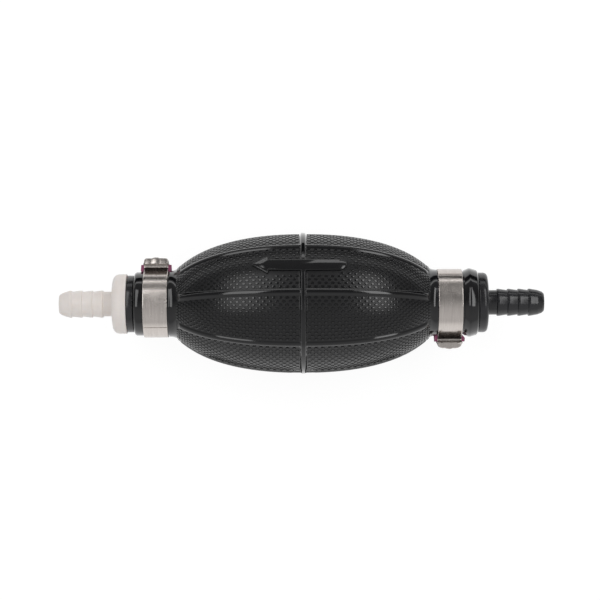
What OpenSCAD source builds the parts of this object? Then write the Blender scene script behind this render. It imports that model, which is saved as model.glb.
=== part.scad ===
// Squeeze-bulb siphon pump: a ribbed rubber bulb with a check valve and a hose barb at each end.
// Millimetres. The axis is X and the fluid runs from +X (inlet) to -X (outlet). The middle ring of
// the bulb is at X = 0, and +Z points out of the side that carries the flow arrow.

/* [Bulb] */
// Half length of the ovoid's outline, from the middle ring to where the outline would close
bulb_half_length = 57.3; // [56:0.1:62]
// Radius of the smooth skin at the middle ring
bulb_radius = 27.9; // [26:0.1:32]
// Fullness of the outline: 2 is an ellipse, more is squarer
bulb_fullness = 2.2; // [2:0.05:2.6]
// Thickness of the rubber wall
bulb_wall = 3; // [2:0.1:4]
// Number of long ribs
rib_count = 8; // [4:1:12]
// Angle of the first rib from +Z towards +Y, in degrees
rib_first_angle = 10; // [0:0.5:20]
// Width of a rib
rib_width = 2.4; // [1.5:0.1:4]
// Height of a rib over the skin
rib_height = 0.6; // [0.3:0.05:1.2]
// Width of the middle ring
ring_width = 2.8; // [1.5:0.1:5]
// Height of the middle ring over the skin
ring_height = 0.75; // [0.4:0.05:1.6]

/* [Flow arrow] */
// Length from tip to tail
arrow_length = 38; // [24:0.5:50]
// Distance from the middle ring to the tip, towards the outlet
arrow_tip_reach = 20.7; // [14:0.1:28]
// Width of the shaft
arrow_shaft_width = 4.9; // [3:0.1:7]
// Width across the head
arrow_head_width = 8.6; // [7.5:0.1:12]
// Length of the head
arrow_head_length = 6.9; // [4:0.1:10]
// Height of the arrow's face over the skin
arrow_height = 1.35; // [1.2:0.05:2]

/* [Necks] */
// Outer radius of the necks
neck_radius = 13.65; // [13.2:0.05:15]
// Radius of the hole through the necks
neck_bore_radius = 10.4; // [9.8:0.05:11]
// Length of the outlet neck's lip, from the clamp band to the neck's end
outlet_lip_length = 3.6; // [2:0.1:8]
// Length of the inlet neck's lip, from the clamp band to the neck's end
inlet_lip_length = 6; // [3:0.1:10]
// Outer radius of the outlet neck's lip
outlet_lip_radius = 13.1; // [12.95:0.05:14.5]
// Outer radius of the inlet neck's lip beside the clamp
inlet_lip_radius = 14.05; // [13:0.05:15]
// Rounding of the lips
lip_rounding = 1; // [0.4:0.1:1.5]

/* [Clamps] */
// Distance from the end of the ovoid's outline back to the near edge of each clamp band
clamp_setback = 3.1; // [2:0.1:4]
// Width of the band
band_width = 10.4; // [8:0.1:11]
// Thickness of the band
band_thickness = 0.6; // [0.4:0.05:0.9]
// How far the clamp presses the neck in
clamp_bite = 0.8; // [0.3:0.05:1.2]
// Height of the ear over the band
ear_height = 5.8; // [4.5:0.1:7]
// Half width of the ear's head
ear_head_half_width = 3.5; // [2.8:0.1:4.5]
// Half width of the ear's crimped waist
ear_waist_half_width = 1.9; // [1.6:0.05:2.4]
// Half width of the ear's foot on the band
ear_foot_half_width = 4.6; // [4.2:0.1:5.5]
// How far the shim sticks out past the band on each side
shim_overhang = 1.2; // [0.5:0.1:2]
// Height of the shim
shim_height = 2.9; // [2:0.1:3.2]

/* [Outlet fitting] */
// Thickness of the outlet cartridge's rim
outlet_rim_thickness = 3; // [1.5:0.1:5]
// Radius of the outlet cartridge's rim
outlet_rim_radius = 11.65; // [10.8:0.05:12.5]
// Thickness of the outlet flange
outlet_flange_thickness = 5.8; // [4:0.1:8]
// Radius of the outlet flange
outlet_flange_radius = 11.9; // [10:0.05:13]
// Rounding of the outlet flange's outer edge
outlet_flange_rounding = 2.8; // [0.5:0.1:3.5]
// Length of the outlet barb, from its flange to its tip
outlet_barb_length = 21.7; // [20.5:0.1:26]
// Length of the outlet spigot inside the cartridge
outlet_spigot_length = 9.2; // [7:0.1:11]

/* [Inlet fitting] */
// Thickness of the inlet flange
inlet_flange_thickness = 3.8; // [2.5:0.1:6]
// Radius of the inlet flange
inlet_flange_radius = 12.1; // [10.8:0.05:13]
// Rounding of the inlet flange's outer edge
inlet_flange_rounding = 1.6; // [0.4:0.1:2.2]
// Length of the inlet barb, from its flange to its tip
inlet_barb_length = 22.9; // [20.5:0.1:26]
// Depth from the inlet neck's end to the floor of the fitting's socket
inlet_socket_depth = 4.6; // [3:0.1:7]
// Length of the inlet fitting's sleeve inside the neck
inlet_sleeve_length = 20.6; // [16:0.1:24]
// How far the inlet cartridge reaches past the sleeve, into the bulb
inlet_body_overhang = 6.8; // [4:0.1:9]

/* [Barbs] */
// Radius of the crests, where the hose grips
crest_radius = 5.5; // [5.3:0.05:6.5]
// Radius at the foot of each taper
root_radius = 5; // [4.2:0.05:5.2]
// Number of crests
crest_count = 4; // [2:1:4]
// Distance from crest to crest
crest_pitch = 4.2; // [3.6:0.05:4.4]
// Length of the straight land on each crest
crest_land = 0.7; // [0.4:0.05:1.2]
// Length of the plain stub between the flange and the first crest
stub_length = 3.8; // [2:0.1:4.2]
// Radius of the face at the tip
tip_radius = 3.7; // [3.4:0.05:4.1]
// Length of the rounded nose at the tip
nose_length = 2.6; // [1.2:0.1:3]
// Radius of the hole through the barb
bore_radius = 2.8; // [2:0.05:3]

/* [Valves] */
// Radius of the port in the seat
port_radius = 3.6; // [2.8:0.05:3.9]
// Width of the raised lip round the port
seat_lip_width = 0.8; // [0.5:0.05:1]
// Height of the raised lip
seat_lip_height = 0.4; // [0.2:0.05:0.8]
// Thickness of the wall that holds the seat
seat_wall = 2.4; // [1.6:0.1:3.2]
// Radius of the sealing washer
seal_radius = 5; // [4.95:0.05:5.3]
// Thickness of the sealing washer
seal_thickness = 1.2; // [0.8:0.05:1.8]
// Radius of the poppet's disc
disc_radius = 5.3; // [4.8:0.05:5.6]
// Thickness of the poppet's disc
disc_thickness = 1.8; // [1.2:0.1:2.4]
// Radius of the poppet's stem
stem_radius = 1.5; // [1:0.05:2]
// Radius of the valve chamber
chamber_radius = 6.6; // [6.2:0.05:6.8]
// Length of the spring with the valve shut
spring_length = 9; // [8:0.1:10]
// Mean radius of the spring
spring_radius = 3; // [2.7:0.05:3.4]
// Radius of the spring's wire
wire_radius = 0.3; // [0.2:0.05:0.35]
// Number of turns of the spring
spring_turns = 5; // [3:1:6]
// Thickness of the stem guide
guide_thickness = 2; // [1.2:0.1:2.6]
// Number of spokes in the stem guide
guide_spokes = 4; // [3:1:6]
// Radius of the spigot and of the inlet cartridge
plug_radius = 8.4; // [8.2:0.05:8.8]
// Radius of the O-rings' section
o_ring_section = 0.75; // [0.5:0.05:0.9]

/* [Clearances] */
// Radial clearance between pushed-together pieces
push_fit = 0.05; // [0.02:0.01:0.1]
// Radial running clearance of the poppet's stem
running_fit = 0.06; // [0.03:0.01:0.1]
// Gap between the arrow, which moves with the thumb, and the skin under it
arrow_gap = 0.3; // [0.2:0.05:0.4]

/* [Hidden] */
$fn = 96;
OUTLET = -1;
INLET = 1;

// Outline of the bulb: the ovoid runs into the neck over a soft shoulder
shoulder_sharpness = 14;
outline_steps = 22;
arc_steps = 5;
// Angle of the arrow from +Z towards +Y: the middle of the first panel
arrow_angle = rib_first_angle + 180 / rib_count;
ring_radius = bulb_radius + ring_height;

// How far a cut runs past what it cuts
past = 1;
arrow_steps = 12;

// The clamps sit in grooves that their grip presses into the necks
groove_radius = neck_radius - clamp_bite;
groove_slack = 0.1;
clamp_reach = bulb_half_length - clamp_setback;
band_inner = groove_radius + push_fit;
band_outer = band_inner + band_thickness;
clamp_far = clamp_reach + band_width;

// Heights on the ear, and how much of each width its outline takes there
ear_top = band_outer + ear_height;
ear_foot_at = band_outer + 0.1 * ear_height;
ear_leg_at = band_outer + 0.28 * ear_height;
ear_waist_at = band_outer + 0.4 * ear_height;
ear_jaw_at = band_outer + 0.5 * ear_height;
ear_cheek_at = band_outer + 0.64 * ear_height;
ear_brow_at = band_outer + 0.76 * ear_height;
ear_temple_at = band_outer + 0.94 * ear_height;
ear_foot_taper = 0.72;
ear_waist_flare = 1.15;
ear_cheek_taper = 0.93;
ear_temple_taper = 0.8;
ear_top_taper = 0.4;
ear_corner = 1.7;
ear_crown = 0.4;
// Angle over which the band runs on under each of the ear's feet
foot_overlap = 3;

// The shim fills the ear's hollow: a wide foot under a narrow crown
shim_foot_flare = 0.3;
shim_crown_slack = 0.1;
shim_foot_share = 0.3;
shim_crown_share = 0.2;

// Stations of the valve stack, downstream from the seat's face
seal_top = seal_thickness;
disc_top = seal_top + disc_thickness;
guide_at = disc_top + spring_length;
guide_top = guide_at + guide_thickness;
stem_spare = 0.6;
stem_tip = guide_top + stem_spare;
stem_chamfer = 0.4;
button_lip = 0.9;
button_radius = stem_radius + button_lip;
button_height = 0.8;
guide_rim = 1.1;
hub_wall = 1.1;
spoke_width = 1.2;
snap_lip = 0.8;
snap_grip = 0.35;

// Places along the axis, each measured from the middle ring outwards
outlet_neck_reach = clamp_far + outlet_lip_length;
inlet_neck_reach = clamp_far + inlet_lip_length;
outlet_rim_at = outlet_neck_reach;
outlet_flange_at = outlet_rim_at + outlet_rim_thickness;
outlet_spigot_at = outlet_flange_at - outlet_spigot_length;
outlet_seat_at = outlet_spigot_at - guide_top;
outlet_body_at = outlet_seat_at - seat_lip_height - seat_wall;
inlet_flange_at = inlet_neck_reach;
inlet_floor_at = inlet_flange_at - inlet_socket_depth;
inlet_sleeve_at = inlet_flange_at - inlet_sleeve_length;
inlet_body_at = inlet_sleeve_at - inlet_body_overhang;
inlet_seat_at = inlet_body_at + snap_lip + guide_top;

// Height along the axis of a crest's steep face
crest_rise = 0.25;

// Radii that follow from the bores and clearances
sleeve_radius = neck_bore_radius - push_fit;
socket_radius = plug_radius + push_fit;
guide_ledge = 0.65;
inlet_guide_radius = chamber_radius + guide_ledge;
stem_hole_radius = stem_radius + running_fit;
groove_depth = 2 * o_ring_section;
o_ring_radius = plug_radius - o_ring_section;
o_ring_slack = 0.4;
o_ring_groove = 2 * o_ring_section + o_ring_slack;
o_ring_setback = 2.6;
outlet_o_ring_at = outlet_spigot_at + outlet_spigot_length / 2;
inlet_o_ring_at = inlet_floor_at - o_ring_setback;

// The outlet barb's bore opens out to the valve chamber
mouth_ledge = 0.6;
mouth_radius = chamber_radius - mouth_ledge;
mouth_depth = 5;

rubber = "#1c1c1e";
black_plastic = "#232326";
white_plastic = "#e6e2da";
steel = "#c4c0ba";
magenta_plastic = "#9a4f78";
clear_plastic = "#d9d4c4";
nitrile = "#2b2a2a";

// ---- shared shapes ----

// Turns a shape made along Z so that it points outwards along the axis, on one side
module outwards(side)
    rotate([0, side * 90, 0])
    children();

// Places a shape made along Z on a valve's seat, pointing downstream
module downstream(seat_x)
    translate([seat_x, 0, 0])
    rotate([0, -90, 0])
    children();

function arc(centre, radius, from, to) = [
    for (i = [0:arc_steps])
        let (a = from + (to - from) * i / arc_steps)
        centre + radius * [cos(a), sin(a)]
];

function ovoid(d, half_length, radius) =
    abs(d) >= half_length ? 0
    : radius * pow(1 - pow(abs(d) / half_length, bulb_fullness), 1 / bulb_fullness);

function soft_max(a, b) =
    pow(pow(a, shoulder_sharpness) + pow(b, shoulder_sharpness), 1 / shoulder_sharpness);

// Radius of the skin, raised by some height over the ovoid
function skin(d, raise) =
    soft_max(ovoid(d, bulb_half_length + raise, bulb_radius + raise), neck_radius);

function cavity(d) =
    soft_max(ovoid(d, bulb_half_length - bulb_wall, bulb_radius - bulb_wall), neck_bore_radius);

// Stations along the ovoid, close together at the shoulders
stations = [for (i = [-outline_steps:outline_steps]) clamp_reach * sin(90 * i / outline_steps)];

// ---- bulb ----

module bulb_outline()
    polygon(concat(
        [[0, -outlet_neck_reach]],
        arc([outlet_lip_radius - lip_rounding, lip_rounding - outlet_neck_reach],
            lip_rounding, -90, 0),
        [[outlet_lip_radius, -clamp_far - groove_slack],
         [groove_radius, -clamp_far - groove_slack],
         [groove_radius, -clamp_reach + groove_slack]],
        [for (d = stations) [skin(d, 0), d * (1 - groove_slack / clamp_reach)]],
        [[groove_radius, clamp_reach - groove_slack],
         [groove_radius, clamp_far + groove_slack],
         [inlet_lip_radius, clamp_far + groove_slack]],
        arc([inlet_lip_radius - 2 * lip_rounding, inlet_neck_reach - lip_rounding],
            lip_rounding, 0, 90),
        [[0, inlet_neck_reach]]
    ));

module cavity_outline()
    polygon(concat(
        [[0, -outlet_neck_reach - past], [neck_bore_radius, -outlet_neck_reach - past]],
        [for (d = stations) [cavity(d), d]],
        [[neck_bore_radius, inlet_neck_reach + past], [0, inlet_neck_reach + past]]
    ));

module ribs()
    intersection() {
        outwards(INLET)
            rotate_extrude()
            polygon(concat(
                [[0, -clamp_reach]],
                [for (d = stations) [ovoid(d, bulb_half_length + rib_height,
                    bulb_radius + rib_height), d]],
                [[0, clamp_reach]]
            ));
        for (i = [0:rib_count - 1])
            rotate([-rib_first_angle - 360 * i / rib_count, 0, 0])
            translate([-clamp_reach, -rib_width / 2, 0])
            cube([2 * clamp_reach, rib_width, 2 * bulb_radius]);
    }

module ring()
    outwards(INLET)
    rotate_extrude()
    polygon([
        [bulb_radius - bulb_wall / 2, -ring_width / 2],
        [bulb_radius, -ring_width / 2],
        [ring_radius, -ring_width / 4],
        [ring_radius, ring_width / 4],
        [bulb_radius, ring_width / 2],
        [bulb_radius - bulb_wall / 2, ring_width / 2]
    ]);

module bulb()
    color(rubber)
    difference() {
        union() {
            outwards(INLET)
                rotate_extrude()
                bulb_outline();
            ribs();
            ring();
        }
        outwards(INLET)
            rotate_extrude()
            cavity_outline();
    }

module arrow_plan() {
    neck = arrow_head_length - arrow_tip_reach;
    half = arrow_shaft_width / 2;
    tail = arrow_length - arrow_tip_reach - half;
    polygon(concat(
        [[-arrow_tip_reach, 0], [neck, -arrow_head_width / 2], [neck, -half]],
        [for (i = [0:2 * arc_steps])
            let (a = -90 + 90 * i / arc_steps)
            [tail + half * cos(a), half * sin(a)]],
        [[neck, half], [neck, arrow_head_width / 2]]
    ));
}

// A layer over the skin, from one height to another, over the length of the arrow
module arrow_layer(low, high) {
    reach = (arrow_tip_reach + arrow_length) / 2;
    near = [for (i = [-arrow_steps:arrow_steps]) reach * i / arrow_steps];
    outwards(INLET)
        rotate_extrude()
        polygon(concat(
            [for (d = near) [skin(d, 0) + high, d]],
            [for (i = [2 * arrow_steps:-1:0]) [skin(near[i], 0) + low, near[i]]]
        ));
}

module flow_arrow()
    color(rubber)
    difference() {
        intersection() {
            arrow_layer(arrow_gap, arrow_height);
            rotate([-arrow_angle, 0, 0])
                linear_extrude(2 * bulb_radius)
                arrow_plan();
        }
        outwards(INLET)
            cylinder(r = ring_radius + arrow_gap, h = ring_width + 2 * arrow_gap, center = true);
    }

// ---- clamps ----

function beside(p, i) =
    let (along = p[min(i + 1, len(p) - 1)] - p[max(i - 1, 0)])
    [along[1], -along[0]] / norm(along);

// The same path, moved to its right by some thickness
function thicken(p, t) = [for (i = [0:len(p) - 1]) p[i] + t * beside(p, i)];

function backwards(p) = [for (i = [len(p) - 1:-1:0]) p[i]];

function mirrored(p) = [for (q = backwards(p)) [-q[0], q[1]]];

// Outer face of the ear, from its left foot on the band to the middle of its top
function ear_left(foot_angle) = [
    band_outer * [-sin(foot_angle), cos(foot_angle)],
    [-ear_foot_half_width * ear_foot_taper, ear_foot_at],
    [-ear_waist_half_width * ear_waist_flare, ear_leg_at],
    [-ear_waist_half_width, ear_waist_at],
    [-ear_waist_half_width * ear_waist_flare, ear_jaw_at],
    [-ear_head_half_width * ear_cheek_taper, ear_cheek_at],
    [-ear_head_half_width, ear_brow_at],
    [-ear_head_half_width * ear_temple_taper, ear_temple_at],
    [-ear_head_half_width * ear_top_taper, ear_top]
];

module ear() {
    foot_angle = asin(ear_foot_half_width / band_outer);
    outer = concat(ear_left(foot_angle), mirrored(ear_left(foot_angle)));
    rotate([0, 90, 0])
        linear_extrude(band_width, center = true)
        polygon(concat(outer, backwards(thicken(outer, band_thickness))));
}

// What comes off the ear's head, seen from the front: its corners, and a little of its top
module head_trim()
    polygon([
        [band_width / 2 + past, ear_jaw_at],
        [band_width / 2, ear_jaw_at],
        [band_width / 2 - ear_corner, ear_top - ear_crown],
        [0, ear_top],
        [-band_width / 2 + ear_corner, ear_top - ear_crown],
        [-band_width / 2, ear_jaw_at],
        [-band_width / 2 - past, ear_jaw_at],
        [-band_width / 2 - past, ear_top + past],
        [band_width / 2 + past, ear_top + past]
    ]);

// A clamp with its ear along +Y, centred on the origin
module clamp() {
    mouth_angle = asin(ear_foot_half_width / band_outer) - foot_overlap;
    far = 2 * band_outer;
    difference() {
        union() {
            rotate([0, 90, 0])
                difference() {
                    cylinder(r = band_outer, h = band_width, center = true);
                    cylinder(r = band_inner, h = band_width + past, center = true);
                    linear_extrude(band_width + past, center = true)
                        polygon([[0, 0], far * [-sin(mouth_angle), cos(mouth_angle)],
                            far * [sin(mouth_angle), cos(mouth_angle)]]);
                }
            ear();
        }
        linear_extrude(2 * band_outer, center = true)
            head_trim();
    }
}

module shim_outline() {
    low = groove_radius + push_fit;
    top = low + shim_height;
    foot_top = low + shim_foot_share * shim_height;
    crown_at = top - shim_crown_share * shim_height;
    foot = ear_waist_half_width + shim_foot_flare;
    crown = ear_waist_half_width - band_thickness - shim_crown_slack;
    polygon([
        [-foot, low],
        [foot, low],
        [foot, foot_top],
        [crown, crown_at],
        [crown, top],
        [-crown, top],
        [-crown, crown_at],
        [-foot, foot_top]
    ]);
}

// What comes off one end of the shim, so that it lies on what is beside the band
module shim_end_cut(side, radius)
    translate([side * band_width / 2, 0, 0])
    outwards(side)
    cylinder(r = radius + push_fit, h = shim_overhang + past);

// A shim along +Y: one end lies on the neck's lip and the other on the bulb's shoulder
module shim(side, lip_radius)
    difference() {
        rotate([0, 90, 0])
            linear_extrude(band_width + 2 * shim_overhang, center = true)
            shim_outline();
        shim_end_cut(side, lip_radius);
        shim_end_cut(-side, skin(clamp_reach - shim_overhang, 0));
    }

// Puts a clamp or shim on its neck: the outlet's ear points to +Y and the inlet's to -Y
module on_neck(side)
    translate([side * (clamp_reach + band_width / 2), 0, 0])
    rotate([side == OUTLET ? 0 : 180, 0, 0])
    children();

module outlet_clamp_band() color(steel) on_neck(OUTLET) clamp();

module inlet_clamp_band() color(steel) on_neck(INLET) clamp();

module outlet_clamp_shim()
    color(magenta_plastic)
    on_neck(OUTLET)
    shim(OUTLET, outlet_lip_radius);

module inlet_clamp_shim()
    color(magenta_plastic)
    on_neck(INLET)
    shim(INLET, inlet_lip_radius);

// ---- hose barbs ----

// One crest: a steep face towards the flange and a straight land
function crest(at) = [
    [root_radius, at],
    [crest_radius, at + crest_rise],
    [crest_radius, at + crest_rise + crest_land]
];

// Outline of a barb from its flange's face to its tip: each crest tapers to the foot of the next
function barb(at, length) =
    let (tip = at + length)
    concat(
        [[root_radius, at]],
        [for (i = [0:crest_count - 1]) each crest(at + stub_length + i * crest_pitch)],
        [for (i = [0:arc_steps])
            let (a = 90 * i / arc_steps)
            [tip_radius + (root_radius - tip_radius) * cos(a),
             tip - nose_length * (1 - sin(a))]]
    );

function flange(at, thickness, radius, rounding) = concat(
    [[radius, at]],
    arc([radius - rounding, at + thickness - rounding], rounding, 0, 90)
);

// The cuts in a spigot or cartridge for its O-ring
module o_ring_cut(at)
    translate([0, 0, at])
    difference() {
        cylinder(r = plug_radius + past, h = o_ring_groove, center = true);
        cylinder(r = plug_radius - groove_depth, h = o_ring_groove + past, center = true);
    }

module o_ring(at)
    translate([0, 0, at])
    rotate_extrude()
    translate([o_ring_radius, 0])
    circle(r = o_ring_section - push_fit / 2);

module outlet_barb()
    color(white_plastic)
    outwards(OUTLET)
    difference() {
        rotate_extrude()
            polygon(concat(
                [[0, outlet_spigot_at],
                 [plug_radius, outlet_spigot_at],
                 [plug_radius, outlet_flange_at]],
                flange(outlet_flange_at, outlet_flange_thickness, outlet_flange_radius,
                    outlet_flange_rounding),
                barb(outlet_flange_at + outlet_flange_thickness, outlet_barb_length),
                [[0, outlet_flange_at + outlet_flange_thickness + outlet_barb_length]]
            ));
        translate([0, 0, outlet_spigot_at - past])
            cylinder(r = bore_radius,
                h = outlet_spigot_length + outlet_flange_thickness + outlet_barb_length + 2 * past);
        translate([0, 0, outlet_spigot_at])
            rotate_extrude()
            polygon([
                [0, -past],
                [mouth_radius, -past],
                [mouth_radius, 0],
                [bore_radius, mouth_depth],
                [0, mouth_depth]
            ]);
        o_ring_cut(outlet_o_ring_at);
    }

module outlet_o_ring() color(nitrile) outwards(OUTLET) o_ring(outlet_o_ring_at);

module outlet_valve_body()
    color(black_plastic)
    outwards(OUTLET)
    rotate_extrude()
    polygon([
        [port_radius, outlet_body_at],
        [sleeve_radius, outlet_body_at],
        [sleeve_radius, outlet_rim_at],
        [outlet_rim_radius, outlet_rim_at],
        [outlet_rim_radius, outlet_flange_at],
        [socket_radius, outlet_flange_at],
        [socket_radius, outlet_seat_at + guide_at],
        [chamber_radius, outlet_seat_at + guide_at],
        [chamber_radius, outlet_seat_at - seat_lip_height],
        [port_radius + seat_lip_width, outlet_seat_at - seat_lip_height],
        [port_radius + seat_lip_width, outlet_seat_at],
        [port_radius, outlet_seat_at]
    ]);

module inlet_barb()
    color(black_plastic)
    outwards(INLET)
    difference() {
        rotate_extrude()
            polygon(concat(
                [[0, inlet_sleeve_at],
                 [sleeve_radius, inlet_sleeve_at],
                 [sleeve_radius, inlet_flange_at]],
                flange(inlet_flange_at, inlet_flange_thickness, inlet_flange_radius,
                    inlet_flange_rounding),
                barb(inlet_flange_at + inlet_flange_thickness, inlet_barb_length),
                [[0, inlet_flange_at + inlet_flange_thickness + inlet_barb_length]]
            ));
        translate([0, 0, inlet_sleeve_at - past])
            cylinder(r = socket_radius, h = inlet_floor_at - inlet_sleeve_at + past);
        cylinder(r = bore_radius,
            h = inlet_flange_at + inlet_flange_thickness + inlet_barb_length + past);
    }

module inlet_o_ring() color(nitrile) outwards(INLET) o_ring(inlet_o_ring_at);

module inlet_valve_body()
    color(black_plastic)
    outwards(INLET)
    difference() {
        rotate_extrude()
            polygon([
                [inlet_guide_radius - snap_grip, inlet_body_at],
                [plug_radius, inlet_body_at],
                [plug_radius, inlet_floor_at],
                [port_radius, inlet_floor_at],
                [port_radius, inlet_seat_at],
                [port_radius + seat_lip_width, inlet_seat_at],
                [port_radius + seat_lip_width, inlet_seat_at + seat_lip_height],
                [chamber_radius, inlet_seat_at + seat_lip_height],
                [chamber_radius, inlet_seat_at - guide_at],
                [inlet_guide_radius + push_fit, inlet_seat_at - guide_at],
                [inlet_guide_radius + push_fit, inlet_seat_at - guide_top],
                [inlet_guide_radius - snap_grip, inlet_seat_at - guide_top]
            ]);
        o_ring_cut(inlet_o_ring_at);
    }

// ---- check valves ----

// Stem guide: a rim, a hub and spokes, with room for the fluid between them
module guide(radius)
    translate([0, 0, guide_at])
    difference() {
        union() {
            difference() {
                cylinder(r = radius, h = guide_thickness);
                translate([0, 0, -past])
                    cylinder(r = chamber_radius - guide_rim, h = guide_thickness + 2 * past);
            }
            cylinder(r = stem_radius + hub_wall, h = guide_thickness);
            for (i = [0:guide_spokes - 1])
                rotate([0, 0, 360 * i / guide_spokes])
                translate([0, -spoke_width / 2, 0])
                cube([chamber_radius, spoke_width, guide_thickness]);
        }
        translate([0, 0, -past])
            cylinder(r = stem_hole_radius, h = guide_thickness + 2 * past);
    }

module poppet()
    rotate_extrude()
    polygon([
        [0, -button_height],
        [button_radius, -button_height],
        [button_radius, 0],
        [stem_radius, 0],
        [stem_radius, seal_top],
        [disc_radius, seal_top],
        [disc_radius, disc_top],
        [stem_radius, disc_top],
        [stem_radius, stem_tip - stem_chamfer],
        [stem_radius - stem_chamfer, stem_tip],
        [0, stem_tip]
    ]);

module seal()
    difference() {
        cylinder(r = seal_radius, h = seal_thickness);
        translate([0, 0, -past])
            cylinder(r = stem_radius + push_fit, h = seal_thickness + 2 * past);
    }

wire_sides = 6;
rings_per_turn = 12;

// A compression spring as one unbroken tube, between the disc and the guide
module spring() {
    low = disc_top + wire_radius + push_fit;
    rise = guide_at - disc_top - 2 * (wire_radius + push_fit);
    count = spring_turns * rings_per_turn;
    points = [
        for (i = [0:count], k = [0:wire_sides - 1])
            let (turn = 360 * i / rings_per_turn, a = 360 * k / wire_sides,
                out = spring_radius + wire_radius * cos(a))
            [out * cos(turn), out * sin(turn), low + rise * i / count + wire_radius * sin(a)]
    ];
    sides = [
        for (i = [0:count - 1], k = [0:wire_sides - 1])
            let (a = i * wire_sides + k, b = i * wire_sides + (k + 1) % wire_sides)
            each [[a, b + wire_sides, b], [a, a + wire_sides, b + wire_sides]]
    ];
    ends = [
        for (k = [1:wire_sides - 2])
            each [[0, k, k + 1],
                [count * wire_sides, count * wire_sides + k + 1, count * wire_sides + k]]
    ];
    echo(str("spring: least gap between turns ", rise / spring_turns - 2 * wire_radius, " mm"));
    polyhedron(points, concat(sides, ends));
}

module outlet_guide() color(clear_plastic) downstream(-outlet_seat_at) guide(plug_radius);

module inlet_guide() color(clear_plastic) downstream(inlet_seat_at) guide(inlet_guide_radius);

module outlet_poppet() color(clear_plastic) downstream(-outlet_seat_at) poppet();

module inlet_poppet() color(clear_plastic) downstream(inlet_seat_at) poppet();

module outlet_seal() color(nitrile) downstream(-outlet_seat_at) seal();

module inlet_seal() color(nitrile) downstream(inlet_seat_at) seal();

module outlet_spring() color(steel) downstream(-outlet_seat_at) spring();

module inlet_spring() color(steel) downstream(inlet_seat_at) spring();

bulb();
flow_arrow();
outlet_barb();
outlet_valve_body();
outlet_guide();
outlet_poppet();
outlet_seal();
outlet_spring();
outlet_o_ring();
outlet_clamp_band();
outlet_clamp_shim();
inlet_barb();
inlet_valve_body();
inlet_guide();
inlet_poppet();
inlet_seal();
inlet_spring();
inlet_o_ring();
inlet_clamp_band();
inlet_clamp_shim();
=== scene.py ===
"""The looks of a siphon bulb pump: a ribbed rubber squeeze bulb between two hose barbs.

Shapes are modelled in millimetres about the flow axis, X, and become metres when a piece is made.
The liquid runs from +X, the inlet, to -X, the outlet. Angles round the axis are measured from +Z
towards +Y, in radians.
"""
import logging
import math
from collections.abc import Callable, Iterator, Sequence
from dataclasses import dataclass
from enum import Enum

import bmesh
import bpy
from bmesh.types import BMEdge, BMesh, BMFace, BMVert
from bpy.types import Material, Node, NodeSocket, NodeTree
from mathutils import Matrix, Vector
from mathutils.geometry import intersect_point_line


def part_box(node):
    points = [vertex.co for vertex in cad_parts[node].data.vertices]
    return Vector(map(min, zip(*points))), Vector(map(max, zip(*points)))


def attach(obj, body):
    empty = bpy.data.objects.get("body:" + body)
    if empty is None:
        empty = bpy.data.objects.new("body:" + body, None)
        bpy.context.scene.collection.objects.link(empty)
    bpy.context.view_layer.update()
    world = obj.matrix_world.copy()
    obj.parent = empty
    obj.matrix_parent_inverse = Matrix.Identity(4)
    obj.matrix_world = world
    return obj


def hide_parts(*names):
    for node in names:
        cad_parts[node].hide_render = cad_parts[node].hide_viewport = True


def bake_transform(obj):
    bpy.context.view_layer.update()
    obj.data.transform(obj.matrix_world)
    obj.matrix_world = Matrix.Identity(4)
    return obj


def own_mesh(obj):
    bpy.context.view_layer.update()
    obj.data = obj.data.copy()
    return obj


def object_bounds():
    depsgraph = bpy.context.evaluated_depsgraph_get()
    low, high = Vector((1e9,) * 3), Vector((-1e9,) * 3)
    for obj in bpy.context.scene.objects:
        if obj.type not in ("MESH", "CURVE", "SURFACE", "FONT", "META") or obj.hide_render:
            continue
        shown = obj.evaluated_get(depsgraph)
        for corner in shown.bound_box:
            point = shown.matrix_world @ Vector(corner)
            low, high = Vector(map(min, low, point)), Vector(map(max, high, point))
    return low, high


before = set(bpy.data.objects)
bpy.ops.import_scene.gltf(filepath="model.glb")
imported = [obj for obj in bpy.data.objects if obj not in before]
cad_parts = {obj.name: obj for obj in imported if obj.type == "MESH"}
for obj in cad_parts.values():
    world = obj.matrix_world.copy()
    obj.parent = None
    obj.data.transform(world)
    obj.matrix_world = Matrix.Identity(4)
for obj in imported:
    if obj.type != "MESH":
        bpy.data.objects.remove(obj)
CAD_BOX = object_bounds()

MM = 0.001
TURN = 2 * math.pi
# Vertices nearer than this, in millimetres, are at one place
TOUCH = 0.001
LOG = logging.getLogger("siphon_bulb_pump")
# The mesh attribute that paints shade on the clamps' strip, darkest in the crease of the ear's
# legs
PAINTED_SHADE = "painted_shade"

# A rounding takes at most this share of the sides beside it
ROUND_SHARE = 0.49

# A corner of an outline: (x, y) where it stays sharp, or (x, y, radius)
Corner = tuple[float, ...]
Geometry = list[BMVert | BMEdge | BMFace]


class End(Enum):
    """The two ends of the pump, as the sign of X on which each lies."""

    OUTLET = -1
    INLET = 1


class Hub(Enum):
    """What a hose barb carries inside the neck."""

    SPIGOT = "spigot"
    SLEEVE = "sleeve"


# ---- shared tools ----


def linear(hex_colour: str) -> tuple[float, float, float, float]:
    """Turns an sRGB hex colour into the linear RGBA that shaders take.

    Args:
        hex_colour: The colour as #rrggbb.

    Returns:
        Linear red, green and blue, and an alpha of 1.
    """
    channels = [int(hex_colour[i:i + 2], 16) / 255 for i in (1, 3, 5)]
    lit = [c / 12.92 if c <= 0.04045 else ((c + 0.055) / 1.055) ** 2.4 for c in channels]
    return (lit[0], lit[1], lit[2], 1.0)


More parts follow.
